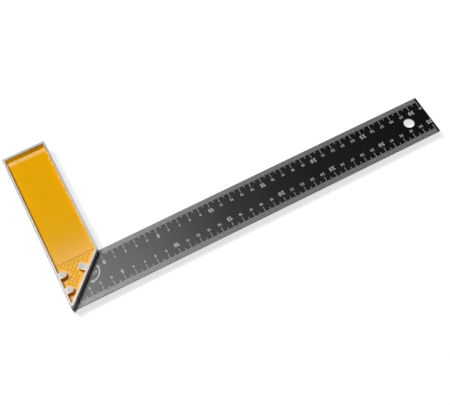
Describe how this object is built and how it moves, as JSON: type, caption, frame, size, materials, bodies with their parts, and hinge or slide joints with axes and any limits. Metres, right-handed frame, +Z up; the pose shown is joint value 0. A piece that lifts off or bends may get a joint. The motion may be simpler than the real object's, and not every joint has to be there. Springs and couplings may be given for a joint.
{
  "type": "carpenter square",
  "caption": "L-shaped carpenter square: a flat steel blade with centimetre scales and a hang hole, riveted into a slotted die-cast handle with sunk enamelled panels and a mitred heel.",
  "frame": {"origin": "under the middle of the square's box, in the plane of the handle's lower rim, on which it lies", "axes": "+X along the blade towards its free end, +Y along the handle towards its top end, +Z up through the thickness"},
  "size_m": [0.3524, 0.159, 0.013],
  "materials": {
    "handle_casting": "satin",
    "handle_enamel": "satin",
    "blade_steel": "satin",
    "blade_lacquer": "satin",
    "scale_marks": "satin",
    "rivet_steel": "satin"
  },
  "bodies": {
    "root": {"handle": "handle_casting", "blade": "blade_steel", "heel_rivet": "rivet_steel", "upper_rivet": "rivet_steel", "mitre_rivet": "rivet_steel"}
  },
  "joints": []
}
